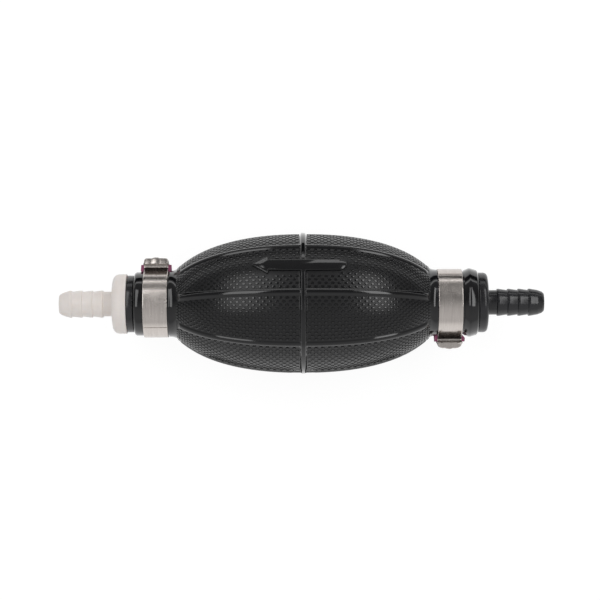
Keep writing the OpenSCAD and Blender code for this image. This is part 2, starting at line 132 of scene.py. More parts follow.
def add_node(
    tree: NodeTree, kind: str, inputs: dict[str | int, object] | None = None, **settings: object
) -> Node:
    """Adds a node with its settings, and links or sets its inputs.

    Args:
        tree: The node tree that the node goes into.
        kind: The node's type name, without ShaderNode in front.
        inputs: What each input takes: a node, for its first output, a socket, or a value.
        **settings: Properties of the node itself.

    Returns:
        The new node.
    """
    node = tree.nodes.new("ShaderNode" + kind)
    for name, value in settings.items():
        setattr(node, name, value)
    for key, value in (inputs or {}).items():
        source = value.outputs[0] if isinstance(value, Node) else value
        if isinstance(source, NodeSocket):
            tree.links.new(source, node.inputs[key])
        else:
            node.inputs[key].default_value = source
    return node


def per_metre(feature_mm: float) -> float:
    """The texture scale at which one feature is this many millimetres across."""
    return 1 / (feature_mm * MM)


def new_tree(name: str) -> tuple[Material, NodeTree]:
    """Makes an empty node material.

    Args:
        name: The material's name.

    Returns:
        The material and its node tree.
    """
    material = bpy.data.materials.new(name)
    material.use_nodes = True
    material.node_tree.nodes.clear()
    return material, material.node_tree


def fillet(corners: Sequence[Corner], closed: bool, steps: int = 4) -> list[Vector]:
    """Rounds the corners of an outline.

    Args:
        corners: The corners.
        closed: Whether the last corner joins the first.
        steps: Number of straight steps in each rounding.

    Returns:
        The points of the rounded outline.
    """
    points = [Vector(c[:2]) for c in corners]
    count = len(points)
    outline: list[Vector] = []
    for i, corner in enumerate(corners):
        here = points[i]
        radius = corner[2] if len(corner) > 2 else 0
        at_end = not closed and i in (0, count - 1)
        if radius <= 0 or at_end:
            outline.append(here)
            continue
        back, ahead = points[i - 1] - here, points[(i + 1) % count] - here
        half = back.angle(ahead) / 2
        room = ROUND_SHARE * min(back.length, ahead.length)
        reach = min(radius / math.tan(half), room)
        first, last = here + reach * back.normalized(), here + reach * ahead.normalized()
        away = (back.normalized() + ahead.normalized()).normalized()
        centre = here + away * (reach / math.cos(half))
        start = math.atan2(*(first - centre).yx)
        bend = (math.atan2(*(last - centre).yx) - start + math.pi) % TURN - math.pi
        size = (first - centre).length
        for k in range(steps + 1):
            angle = start + bend * k / steps
            outline.append(centre + size * Vector((math.cos(angle), math.sin(angle))))
    return outline


def whole(bm: BMesh) -> Geometry:
    """Everything in a mesh, as the operators take it."""
    return bm.verts[:] + bm.edges[:] + bm.faces[:]


def cut(bm: BMesh, place: Sequence[float], normal: Sequence[float]) -> None:
    """Cuts a whole mesh along a plane, and keeps both sides."""
    bmesh.ops.bisect_plane(bm, geom=whole(bm), plane_co=place, plane_no=normal)


def closed_loop(bm: BMesh, points: Sequence[Vector]) -> Geometry:
    """Adds a closed outline in the half plane above the axis.

    Args:
        bm: The mesh that it goes into.
        points: The outline, with X along the axis and Y as the radius.

    Returns:
        The outline's vertices and edges.
    """
    verts = [bm.verts.new((p.x, 0, p.y)) for p in points]
    edges = [bm.edges.new(pair) for pair in zip(verts, verts[1:] + verts[:1])]
    return verts + edges


def spin(
    bm: BMesh, geom: Geometry, angle: float, steps: int, advance: float = 0,
    merge: bool = False, copies: bool = False,
) -> Geometry:
    """Spins part of a mesh round the axis, from +Z towards +Y.

    Args:
        bm: The mesh.
        geom: The part.
        angle: How far it goes round.
        steps: Number of steps on the way.
        advance: How far each step moves it along X.
        merge: Whether the last step of a full turn is merged with the first.
        copies: Whether each step leaves a copy of the part, and not a surface.

    Returns:
        What the last step made.
    """
    return bmesh.ops.spin(
        bm, geom=geom, cent=(0, 0, 0), axis=(-1, 0, 0), dvec=(advance, 0, 0), angle=angle,
        steps=steps, use_merge=merge, use_duplicate=copies)["geom_last"]


def lathe(points: Sequence[Vector], steps: int) -> BMesh:
    """Turns a closed outline about the axis.

    Args:
        points: The outline, as (x, radius) points.
        steps: Number of steps round the axis.

    Returns:
        A closed mesh.
    """
    bm = bmesh.new()
    spin(bm, closed_loop(bm, points), TURN, steps, merge=True)
    bmesh.ops.remove_doubles(bm, verts=bm.verts, dist=TOUCH)
    bmesh.ops.recalc_face_normals(bm, faces=bm.faces)
    return bm


def sweep(
    bm: BMesh, section: Sequence[Vector], start: float, angle: float, steps: int,
    advance: float = 0,
) -> None:
    """Sweeps a closed section round the axis, with a cap at each end.

    Args:
        bm: The mesh that it goes into.
        section: The section, as (x, radius) points.
        start: The angle at which it starts.
        angle: How far it goes round.
        steps: Number of straight steps on the way.
        advance: How far each step moves it along X.
    """
    geom = closed_loop(bm, section)
    first = [v for v in geom if isinstance(v, BMVert)]
    bmesh.ops.rotate(bm, verts=first, matrix=Matrix.Rotation(-start, 3, "X"))
    bm.faces.new(first)
    last = spin(bm, geom, angle, steps, advance)
    bm.faces.new([v for v in last if isinstance(v, BMVert)])


def prism(bm: BMesh, corners: Sequence[Sequence[float]], along: Sequence[float]) -> None:
    """Draws a flat face out into a closed solid.

    Args:
        bm: The mesh that it goes into.
        corners: The face's corners.
        along: How far, and which way, it is drawn out.
    """
    base = bm.faces.new([bm.verts.new(corner) for corner in corners])
    bmesh.ops.recalc_face_normals(bm, faces=[base])
    drawn = bmesh.ops.extrude_face_region(bm, geom=[base], use_keep_orig=True)["geom"]
    bmesh.ops.translate(bm, verts=[v for v in drawn if isinstance(v, BMVert)], vec=along)


def round_edges(
    bm: BMesh, edges: list[BMEdge], offset: float, segments: int, hold: bool = False
) -> None:
    """Rounds some edges of a mesh.

    Args:
        bm: The mesh.
        edges: The edges.
        offset: How far from each edge the rounding starts.
        segments: Number of steps in the rounding.
        hold: Whether it stops where roundings would overlap.
    """
    bmesh.ops.bevel(
        bm, geom=edges, offset=offset, segments=segments, profile=0.5, affect="EDGES",
        material=-1, clamp_overlap=hold)


def merge_in(bm: BMesh, other: BMesh) -> None:
    """Adds another mesh to a mesh.

    Args:
        bm: The mesh that it goes into.
        other: The other mesh, which this call frees.
    """
    spare = bpy.data.meshes.new("spare")
    other.to_mesh(spare)
    other.free()
    bm.from_mesh(spare)
    bpy.data.meshes.remove(spare)


def put_in_scene(name: str, data: bpy.types.ID) -> bpy.types.Object:
    """Puts a mesh, a camera or a lamp into the scene.

    Args:
        name: The object's name.
        data: The mesh, camera or lamp.

    Returns:
        The object.
    """
    placed = bpy.data.objects.new(name, data)
    bpy.context.scene.collection.objects.link(placed)
    return placed


def make_object(name: str, bm: BMesh, material: Material) -> bpy.types.Object:
    """Makes an object from a mesh in metres.

    Args:
        name: The object's name.
        bm: The mesh, which this call frees.
        material: Its material.

    Returns:
        The object.
    """
    mesh = bpy.data.meshes.new(name)
    bm.to_mesh(mesh)
    bm.free()
    mesh.materials.append(material)
    return put_in_scene(name, mesh)


@dataclass(frozen=True)
class Place:
    """Where a finished mesh belongs: its material slot, the solid it stands for and its body.

    A piece given no body is not attached to one.
    """

    name: str
    slot: str
    node: str
    body: str | None = "root"


def make_piece(
    bm: BMesh, place: Place, material: Material, crease: float = 40
) -> bpy.types.Object:
    """Makes a finished piece from a mesh in millimetres.

    Args:
        bm: The mesh, which this call frees.
        place: The piece's name, slot, solid and body.
        material: Its finish.
        crease: Edges that turn by more than this many degrees stay sharp.

    Returns:
        The piece.
    """
    bmesh.ops.scale(bm, vec=(MM, MM, MM), verts=bm.verts)
    piece = make_object(place.name, bm, material)
    mesh = piece.data
    mesh.shade_smooth()
    mesh.set_sharp_from_angle(angle=math.radians(crease))
    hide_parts(place.node)
    if place.body:
        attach(piece, place.body)
    mesh.calc_loop_triangles()
    LOG.info("%s: %d triangles", place.name, len(mesh.loop_triangles))
    return piece


# ---- finishes ----


@dataclass(frozen=True)
class Finish:
    """What the finishes share: two colours in a pattern, an uneven gloss and a fine relief."""

    name: str
    colour: str
    second_colour: str
    roughness: tuple[float, float]

    def _mixed(self, tree: NodeTree, pattern: Node, high: float) -> NodeSocket:
        """Mixes the two colours by a pattern.

        Args:
            tree: The material's node tree.
            pattern: The pattern, which is half way at 0.5.
            high: The pattern's value at which the second colour is pure.

        Returns:
            The mixed colour.
        """
        share = add_node(tree, "MapRange", {
            "Value": pattern, "From Min": 0.35, "From Max": high})
        return add_node(tree, "Mix", {
            0: share, 6: linear(self.colour), 7: linear(self.second_colour)},
            data_type="RGBA").outputs[2]

    def _shade(
        self, tree: NodeTree, colour: NodeSocket, gloss: Node, relief: Node, depth_mm: float,
        constants: dict[str, object],
    ) -> None:
        """Adds the shader and the output.

        Args:
            tree: The material's node tree.
            colour: The surface's colour.
            gloss: The pattern of its roughness.
            relief: The pattern of its height.
            depth_mm: How deep the relief is.
            constants: The shader's inputs that are the same all over.
        """
        rough = add_node(tree, "MapRange", {
            "Value": gloss, "From Min": 0.3, "From Max": 0.7,
            "To Min": self.roughness[0], "To Max": self.roughness[1]})
        bump = add_node(tree, "Bump", {
            "Height": relief, "Distance": depth_mm * MM, "Strength": 1.0})
        shader = add_node(tree, "BsdfPrincipled", {
            "Base Color": colour, "Roughness": rough, "Normal": bump, **constants})
        add_node(tree, "OutputMaterial", {"Surface": shader})


@dataclass(frozen=True)
class Moulded(Finish):
    """A moulded rubber or plastic: a mottled colour, a fine grain and an uneven gloss."""

    ior: float
    grain_mm: float
    grain_depth_mm: float
    mottle_mm: float = 7
    translucent_mm: float = 0
    translucence: float = 0.25
    skin_ior: float = 0
    skin_roughness: float = 0

    def material(self) -> Material:
        """Builds the finish as a material.

        Returns:
            The material.
        """
        material, tree = new_tree(self.name)
        where = add_node(tree, "TexCoord").outputs["Object"]
        mottle = add_node(tree, "TexNoise", {
            "Vector": where, "Scale": per_metre(self.mottle_mm), "Detail": 4.0,
            "Roughness": 0.6})
        gloss = add_node(tree, "TexNoise", {
            "Vector": where, "Scale": per_metre(self.mottle_mm / 4), "Detail": 3.0})
        grain = add_node(tree, "TexNoise", {
            "Vector": where, "Scale": per_metre(self.grain_mm), "Detail": 2.0})
        constants: dict[str, object] = {"IOR": self.ior}
        if self.skin_ior:
            constants |= {
                "Coat Weight": 1.0, "Coat IOR": self.skin_ior,
                "Coat Roughness": self.skin_roughness}
        if self.translucent_mm:
            constants |= {
                "Subsurface Weight": self.translucence, "Subsurface Radius": (1.0, 0.85, 0.7),
                "Subsurface Scale": self.translucent_mm * MM}
        self._shade(
            tree, self._mixed(tree, mottle, high=0.65), gloss, grain, self.grain_depth_mm,
            constants)
        return material


@dataclass(frozen=True)
class RolledStrip(Finish):
    """Rolled or drawn steel: fine marks run along it, and a satin sheen varies in patches."""

    mark_mm: float
    mark_length_mm: float
    mark_depth_mm: float
    # The colour of the painted shade, mixed in where the mesh attribute asks for it
    shade_colour: str = "#2a2528"

    def material(self) -> Material:
        """Builds the finish as a material.

        Returns:
            The material.
        """
        material, tree = new_tree(self.name)
        where = add_node(tree, "TexCoord").outputs["Object"]
        along = per_metre(self.mark_length_mm)
        drawn_out = add_node(tree, "Mapping", {
            "Vector": where, "Scale": (per_metre(self.mark_mm), along, along)})
        marks = add_node(tree, "TexNoise", {"Vector": drawn_out, "Scale": 1.0, "Detail": 3.0})
        patches = add_node(tree, "TexNoise", {
            "Vector": where, "Scale": per_metre(self.mark_length_mm / 3), "Detail": 4.0})
        # Painted shade: the colour turns dark where the mesh attribute is high
        painted_shade = add_node(tree, "Attribute", attribute_name=PAINTED_SHADE)
        colour = add_node(tree, "Mix", {
            0: painted_shade.outputs["Fac"], 6: self._mixed(tree, marks, high=0.7),
            7: linear(self.shade_colour)}, data_type="RGBA").outputs[2]
        self._shade(tree, colour, patches, marks, self.mark_depth_mm, {"Metallic": 1.0})
        return material


# The grain of these moulds is about 0.1 mm. It is drawn at 0.3 mm or more, so that it shows

# Nitrile rubber: near black, with a thin skin of wax that shines most at the rims
NITRILE = Moulded(
    "moulded_nitrile_rubber", "#0b0b0d", "#101012", (0.08, 0.13), ior=1.36, grain_mm=0.5,
    grain_depth_mm=0.003, skin_ior=1.36, skin_roughness=0.08)
# The same rubber where the mould is spark eroded, so the skin is dull
ERODED_NITRILE = Moulded(
    "eroded_nitrile_rubber", "#0a0a0c", "#0e0e10", (0.42, 0.5), ior=1.32, grain_mm=0.5,
    grain_depth_mm=0.003, skin_ior=1.29, skin_roughness=0.26)
# Natural nylon: warm off-white, slightly translucent, with a satin moulded face
NATURAL_NYLON = Moulded(
    "natural_nylon", "#ece6e2", "#e6dfda", (0.36, 0.46), ior=1.53, grain_mm=0.6,
    grain_depth_mm=0.006, mottle_mm=9, translucent_mm=1.2)
# Black nylon: a cooler black than the rubber, with a satin moulded face
BLACK_NYLON = Moulded(
    "black_nylon", "#121215", "#18181c", (0.2, 0.28), ior=1.56, grain_mm=0.5,
    grain_depth_mm=0.004)
# Natural acetal: creamy, hard and slightly waxy
ACETAL = Moulded(
    "natural_acetal", "#dcd8cc", "#d3cfc2", (0.3, 0.38), ior=1.48, grain_mm=0.8,
    grain_depth_mm=0.004, mottle_mm=9, translucent_mm=0.8)
# Magenta polyethylene, saturated and waxy
MAGENTA_PLASTIC = Moulded(
    "magenta_polyethylene", "#94466c", "#8a3f64", (0.4, 0.5), ior=1.51, grain_mm=0.5,
    grain_depth_mm=0.01)
# Seals of soft nitrile, with a talc-dulled face
SEAL_RUBBER = Moulded(
    "seal_nitrile_rubber", "#202022", "#29292b", (0.5, 0.6), ior=1.52, grain_mm=0.3,
    grain_depth_mm=0.01)
# Stainless strip, bright annealed and rolled, so the marks run along it. Real marks are finer.
# They are drawn this coarse so that they show
CLAMP_STEEL = RolledStrip(
    "rolled_stainless_strip", "#cfc8c3", "#c3bcb7", (0.2, 0.28), mark_mm=0.25,
    mark_length_mm=9, mark_depth_mm=0.003)
# Drawn stainless wire, with die marks along the wire
SPRING_STEEL = RolledStrip(
    "drawn_stainless_wire", "#c3c3c4", "#aeaeb0", (0.2, 0.3), mark_mm=0.08,
    mark_length_mm=3, mark_depth_mm=0.001)


# ---- the bulb ----


@dataclass
class FlowArrow:
    """The smooth arrow moulded on the bulb, over the middle ring. It points at the outlet."""

    offset: float = 15.5
    tip_reach: float = 20.7
    length: float = 38
    shaft_width: float = 4.9
    head_width: float = 8.6
    head_length: float = 6.9
    side_height: float = 0.95
    crown_rise: float = 0.18
    crown_run: float = 1.6
    crown_bulge: float = 0.27
    sunk: float = 0.4
    edge_bevel: float = 0.42
    weld: float = 0.02
    corner_round: float = 0.45
    cut_pitch: float = 1.2
    edge_cuts: tuple[float, ...] = (0.5, 1.2, 1.85, 2.05)

    @property
    def neck(self) -> float:
        """Where the head meets the shaft, along X."""
        return self.head_length - self.tip_reach

    @property
    def tail(self) -> float:
        """Where the shaft ends, along X."""
        return self.length - self.tip_reach

    def angle(self, skin_radius: float) -> float:
        """The angle of the arrow's middle line, which runs straight beside the axis."""
        return math.asin(self.offset / (skin_radius + self.side_height))

    def covers(self, along: float, across: float, margin: float) -> bool:
        """Tells whether the arrow, grown by a margin, covers a spot on the skin.

        Args:
            along: The spot's place along X.
            across: Its distance from the arrow's middle line, round the skin.
            margin: How far the arrow is grown.

        Returns:
            Whether it is covered.
        """
        off = abs(across)
        on_shaft = self.neck - margin < along < self.tail + margin
        share = (along + self.tip_reach + margin) / self.head_length
        on_head = 0 < share and along < self.neck + margin
        return (on_shaft and off < self.shaft_width / 2 + margin) or (
            on_head and off < min(share, 1) * self.head_width / 2 + margin)

    def _outline(self) -> list[Vector]:
        """Rounds the arrow's outline.

        Returns:
            The outline, flat, with X along it and Y across it.
        """
        head, shaft = self.head_width / 2, self.shaft_width / 2
        soft = self.corner_round
        return fillet([
            (-self.tip_reach, 0, soft), (self.neck, -head, soft), (self.neck, -shaft, soft),
            (self.tail, -shaft, shaft), (self.tail, shaft, shaft), (self.neck, shaft, soft),
            (self.neck, head, soft),
        ], closed=True, steps=3)

    def _cut_up(self, bm: BMesh) -> None:
        """Cuts the flat arrow finely enough to be crowned and bent over the skin.

        Args:
            bm: The flat arrow.
        """
        tip = Vector((-self.tip_reach, 0, 0))
        head_edge = Vector((self.head_length, self.head_width / 2, 0)).normalized()
        for at in range(1, int(self.length / self.cut_pitch)):
            cut(bm, (at * self.cut_pitch - self.tip_reach, 0, 0), (1, 0, 0))
        for side in (-1, 1):
            away = Vector((-head_edge.y, side * head_edge.x, 0))
            for depth in self.edge_cuts:
                cut(bm, (0, side * (self.shaft_width / 2 - depth), 0), (0, 1, 0))
                cut(bm, tip - depth * away, away)
        cut(bm, (0, 0, 0), (0, 1, 0))

    def build(self, skin: Callable[[float], float]) -> BMesh:
        """Models the arrow flat, with a crown and rounded edges, and wraps it over the skin.

        Args:
            skin: Gives the skin's radius at a place along X.

        Returns:
            The mesh, in millimetres.
        """
        bm = bmesh.new()
        outline = self._outline()
        prism(
            bm, [(*p, -self.sunk) for p in outline], along=(0, 0, self.side_height + self.sunk))
        rim = [e for e in bm.edges if all(v.co.z > 0 for v in e.verts)]
        round_edges(bm, rim, self.edge_bevel, segments=3, hold=True)
        self._cut_up(bm)
        bmesh.ops.remove_doubles(bm, verts=bm.verts, dist=self.weld)
        sides = list(zip(outline, outline[1:] + outline[:1]))
        for v in bm.verts:
            if v.co.z > self.side_height - TOUCH:
                spot = v.co.to_2d()
                depth = min(
                    (spot - intersect_point_line(spot, *side)[0].to_2d()).length
                    for side in sides) - self.edge_bevel
                share = min(max(depth, 0) / self.crown_run, 1)
                v.co.z += self.crown_rise * share * (1 + self.crown_bulge * (share - 1))
            radius = skin(v.co.x)
            around = self.angle(radius) + v.co.y / skin(0)
            out = radius + v.co.z
            v.co = (v.co.x, out * math.sin(around), out * math.cos(around))
        bmesh.ops.recalc_face_normals(bm, faces=bm.faces)
        return bm


@dataclass
class RubberBulb:
    """The squeeze bulb: an ovoid with two necks, long ribs, a middle ring and rows of pips."""

    # The ovoid
    half_length: float = 56.3
    radius: float = 27.75
    fullness: float = 2.25
    wall: float = 3
    shoulder_sharpness: float = 14
    # The necks, each with a groove for its clamp and a lip at its end
    neck_radius: float = 13.45
    neck_bore: float = 10.4
    groove_radius: float = 12.85
    groove_from: float = 54.1
    groove_to: float = 64.7
    outlet_end: float = 68.2
    outlet_lip_radius: float = 12.95
    outlet_lip_round: float = 1.3
    inlet_end: float = 70.6
    inlet_lip_radius: float = 14.05
    inlet_lip_run: float = 2.3
    inlet_lip_rise: float = 1
    inlet_lip_round: float = 1.6
    inlet_mouth_radius: float = 13.2
    inlet_mouth_round: float = 0.9
    inlet_mouth_depth: float = 0.6
    edge_round: float = 0.3
    # The middle ring
    ring_width: float = 2.8
    ring_crest: float = 1.5
    ring_crest_round: float = 0.45
    ring_radius: float = 28.62
    # The ribs
    rib_count: int = 8
    rib_first: float = math.radians(9.4)
    rib_width: float = 3.4
    rib_height: float = 0.66
    rib_flatness: float = 1.4
    rib_end: float = 50.2
    rib_run_out: float = 1.1
    # The mesh: columns round each rib and panel, and rings of vertices along each half
    rib_columns: int = 12
    panel_columns: int = 10
    stations: int = 34
    run_out_stations: int = 4
    seam_weld: float = 0.005
    # The pips, sunk a little into the skin
    pip_pitch: float = 2.65
    pip_rows: int = 13
    pip_base: float = 0.6
    pip_shoulder: float = 0.42
    pip_stretch: float = 1.5
    pip_height: float = 0.22
    pip_dome: float = 0.055
    pip_sunk: float = 0.15
    pip_sides: int = 8
    pip_from: float = 2.35
    pip_to: float = 50.6
    pip_margin: float = -0.1
    arrow_margin: float = 0.45
    # How far past the ring and the ribs the mould is polished
    ring_polish: float = 0.3
    rib_polish: float = 1.05
    # Where the wall starts to give way under the thumb, and where it follows all the way
    squeeze_from: float = 14.2
    squeeze_to: float = 27

    def skin(self, x: float) -> float:
        """Radius of the smooth skin at a place along X."""
        return self._hull(x, self.half_length, self.radius, self.neck_radius)

    def _hull(self, x: float, half_length: float, radius: float, neck: float) -> float:
        """Works out an ovoid that runs into a neck over a soft shoulder.

        Args:
            x: The place along X.
            half_length: The ovoid's half length.
            radius: Its largest radius.
            neck: The neck's radius.

        Returns:
            The radius at that place.
        """
        share = min(abs(x) / half_length, 1)
        ovoid = radius * (1 - share ** self.fullness) ** (1 / self.fullness)
        power = self.shoulder_sharpness
        return (ovoid ** power + neck ** power) ** (1 / power)

    def _slope(self, x: float) -> float:
        """How steeply the skin's radius changes along X."""
        step = 0.05
        return (self.skin(x + step) - self.skin(x - step)) / (2 * step)

    def _outer_stations(self) -> list[float]:
        """Spaces the rings of vertices along the skin, apart from the middle ring.

        Returns:
            Their places along X, in order.
        """
        reach, ring_gap, end_gap = self.groove_from - 0.5, 0.6, 0.25
        spread = [reach * math.sin(math.pi / 2 * i / self.stations)
                  for i in range(1, self.stations + 1)]
        ends = [self.rib_end - self.rib_run_out * k / self.run_out_stations
                for k in range(-1, self.run_out_stations + 1)]
        side = sorted([x for x in spread if x > self.ring_width / 2 + ring_gap
                       and all(abs(x - e) > end_gap for e in ends)] + ends)
        return [-x for x in reversed(side)] + side

    def _outline(self) -> list[Vector]:
        """Draws the section of the rubber.

        Returns:
            The closed outline, from the outlet's end over the outside and back inside.
        """
        half, crest = self.ring_width / 2, self.ring_crest / 2
        foot, lip = self.skin(self.groove_from), self.outlet_lip_radius
        swell, mouth, soft = self.inlet_lip_radius, self.inlet_mouth_radius, self.edge_round
        stations = self._outer_stations()
        corners: list[Corner] = [
            (-self.outlet_end, self.neck_bore, soft),
            (-self.outlet_end, lip, self.outlet_lip_round), (-self.groove_to, lip, 0.25),
            (-self.groove_to, self.groove_radius), (-self.groove_from, self.groove_radius),
            (-self.groove_from, foot, soft)]
        corners += [(x, self.skin(x)) for x in stations if x < 0]
        corners += [
            (-half, self.skin(half), soft), (-crest, self.ring_radius, self.ring_crest_round),
            (crest, self.ring_radius, self.ring_crest_round), (half, self.skin(half), soft)]
        corners += [(x, self.skin(x)) for x in stations if x > 0]
        corners += [
            (self.groove_from, foot, soft), (self.groove_from, self.groove_radius),
            (self.groove_to, self.groove_radius),
            (self.groove_to, swell - self.inlet_lip_rise, soft),
            (self.groove_to + self.inlet_lip_run, swell, self.inlet_lip_round),
            (self.inlet_end - self.inlet_mouth_depth, mouth, self.inlet_mouth_round),
            (self.inlet_end, mouth - self.inlet_mouth_round, soft),
            (self.inlet_end, self.neck_bore, soft)]
        inner = self.half_length - self.wall
        inside = [x * inner / self.half_length for x in stations[::-3] if abs(x) < self.rib_end]
        corners += [(x, self._hull(x, inner, self.radius - self.wall, self.neck_bore))
                    for x in inside]
        return fillet(corners, closed=True, steps=3)

    @property
    def _pitch(self) -> float:
        """The angle from one rib to the next."""
        return TURN / self.rib_count

    def _rib_half_angle(self, x: float) -> float:
        """Half the angle that a rib covers at a place along X."""
        return self.rib_width / 2 / self.skin(x)

    def _nearest_rib(self, spot: Vector) -> tuple[int, float]:
        """Finds the rib nearest to a spot.

        Args:
            spot: The spot.

        Returns:
            The rib's number, and how far round from its middle line the spot lies.
        """
        around = math.atan2(spot.y, spot.z) - self.rib_first
        rib = round(around / self._pitch)
        return rib, around - rib * self._pitch

    def _shape_ribs(self, bm: BMesh) -> None:
        """Draws the columns of each rib together to its own width, and raises its bead.

        Args:
            bm: The body as it was spun.
        """
        half_pitch, at_ring = self._pitch / 2, self._rib_half_angle(0)
        for v in bm.verts:
            x, skin = v.co.x, self.skin(v.co.x)
            radius = math.hypot(v.co.y, v.co.z)
            rib, off = self._nearest_rib(v.co)
            half = self._rib_half_angle(x)
            if abs(off) <= at_ring:
                off *= half / at_ring
            else:
                share = (abs(off) - at_ring) / (half_pitch - at_ring)
                off = math.copysign(half + share * (half_pitch - half), off)
            if radius > skin - 10 * TOUCH and abs(x) < self.rib_end:
                share = min(abs(off / half), 1) ** self.rib_flatness
                bead = math.cos(math.pi / 2 * share) ** 2
                ease = min((self.rib_end - abs(x)) / self.rib_run_out, 1)
                bead *= math.sin(math.pi / 2 * ease)
                radius = max(radius, skin + self.rib_height * bead)
            angle = self.rib_first + rib * self._pitch + off
            v.co = (x, radius * math.sin(angle), radius * math.cos(angle))

    def _body(self) -> BMesh:
        """Spins the outline rib by rib and panel by panel, with more columns on the ribs.

        Returns:
            The body, with its ribs and without pips.
        """
        bm = bmesh.new()
        rib = 2 * self._rib_half_angle(0)
        last = closed_loop(bm, self._outline())
        bmesh.ops.rotate(
            bm, verts=bm.verts, matrix=Matrix.Rotation(rib / 2 - self.rib_first, 3, "X"))
        for _ in range(self.rib_count):
            last = spin(bm, last, rib, self.rib_columns)
            last = spin(bm, last, self._pitch - rib, self.panel_columns)
        bmesh.ops.remove_doubles(bm, verts=bm.verts, dist=self.seam_weld)
        self._shape_ribs(bm)
        bmesh.ops.recalc_face_normals(bm, faces=bm.faces)
        return bm

    def _pip_columns(self) -> Iterator[tuple[int, float]]:
        """Spaces the columns of pips on both sides of the ring.

        Yields:
            Each column's number and its place along X.
        """
        x, column = self.pip_from, 0
        while x < self.pip_to:
            yield column, x
            yield column + 1, -x
            x += self.pip_pitch / 2 / math.hypot(1, self._slope(x))
            column += 1

    def _add_pip(self, bm: BMesh, x: float, angle: float) -> None:
        """Sets one pip on the skin.

        Args:
            bm: The mesh that it goes into.
            x: Its place along X.
            angle: Its place round the axis.
        """
        slope, deep = self._slope(x), self.pip_height + self.pip_sunk
        out = Vector((0, math.sin(angle), math.cos(angle)))
        along = (Vector((1, 0, 0)) + slope * out).normalized()
        normal = (out - slope * Vector((1, 0, 0))).normalized()
        middle = (
            Vector((x, 0, 0)) + self.skin(x) * out + (self.pip_height - deep / 2) * normal)
        turn = Matrix((along, normal.cross(along), normal)).transposed().to_4x4()
        stretch = Matrix.Diagonal((self.pip_stretch, 1, 1, 1))
        pip = bmesh.ops.create_cone(
            bm, cap_ends=True, segments=self.pip_sides, radius1=self.pip_base,
            radius2=self.pip_shoulder, depth=deep,
            matrix=Matrix.Translation(middle) @ turn @ stretch)["verts"]
        top = max({f for v in pip for f in v.link_faces},
                  key=lambda f: f.calc_center_median().dot(normal))
        peak = bmesh.ops.poke(bm, faces=[top])["verts"][0]
        peak.co += self.pip_dome * normal

    def _pip_panel(self, centre: float, arrow: FlowArrow | None) -> BMesh:
        """Sets the staggered pips of one panel on the skin.

        Args:
            centre: The angle of the panel's middle.
            arrow: The arrow that this panel carries, whose place has no pips.

        Returns:
            The pips, each a small closed button.
        """
        bm = bmesh.new()
        for column, x in self._pip_columns():
            radius = self.skin(x)
            clear = self._rib_half_angle(x) + (self.pip_base + self.pip_margin) / radius
            reach = self._pitch / 2 - clear
            for row in range(column % 2, self.pip_rows, 2):
                angle = centre + reach * (2 * row / (self.pip_rows - 1) - 1)
                if arrow is not None and arrow.covers(
                        x, (angle - arrow.angle(radius)) * radius,
                        self.pip_base + self.arrow_margin):
                    continue
                self._add_pip(bm, x, angle)
        return bm

    def _pips(self, arrow: FlowArrow) -> BMesh:
        """Sets all the pips: one plain panel copied round the bulb, and the panel with the arrow.

        Args:
            arrow: The arrow.

        Returns:
            The pips.
        """
        first = self.rib_first + self._pitch / 2
        bm = self._pip_panel(first + self._pitch, None)
        more = self.rib_count - 2
        spin(bm, whole(bm), self._pitch * more, more, copies=True)
        merge_in(bm, self._pip_panel(first, arrow))
        return bm

    def _is_polished(self, spot: Vector) -> bool:
        """Tells whether a spot is on the ring, a rib or a neck, where the mould is polished.

        Args:
            spot: The spot.

        Returns:
            Whether it is.
        """
        x, off = abs(spot.x), abs(self._nearest_rib(spot)[1])
        on_rib = x < self.rib_end and off < self._rib_half_angle(x) * self.rib_polish
        return on_rib or not self.ring_width / 2 + self.ring_polish <= x <= self.pip_to

    def build(self, arrow: FlowArrow) -> BMesh:
        """Models the whole rubber moulding, apart from the arrow.

        Args:
            arrow: The arrow, whose place has no pips.

        Returns:
            The mesh, in millimetres. Its second material is for the eroded panels.
        """
        bm = self._body()
        for face in bm.faces:
            face.material_index = 0 if all(self._is_polished(v.co) for v in face.verts) else 1
        merge_in(bm, self._pips(arrow))
        return bm

    def dress(self, arrow: FlowArrow) -> None:
        """Makes the bulb and its arrow.

        Args:
            arrow: The arrow.
        """
        press = arrow.angle(self.skin(0))
        bulb = make_piece(
            self.build(arrow), Place("rubber_bulb", "bulb_rubber", "bulb", None),
            NITRILE.material(), crease=41)
        bulb.data.materials.append(ERODED_NITRILE.material())
        raised = make_piece(
            arrow.build(self.skin), Place("moulded_arrow", "bulb_rubber", "flow_arrow", None),
            NITRILE.material(), crease=60)
        for piece in (bulb, raised):
            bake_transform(piece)


# ---- the fittings ----


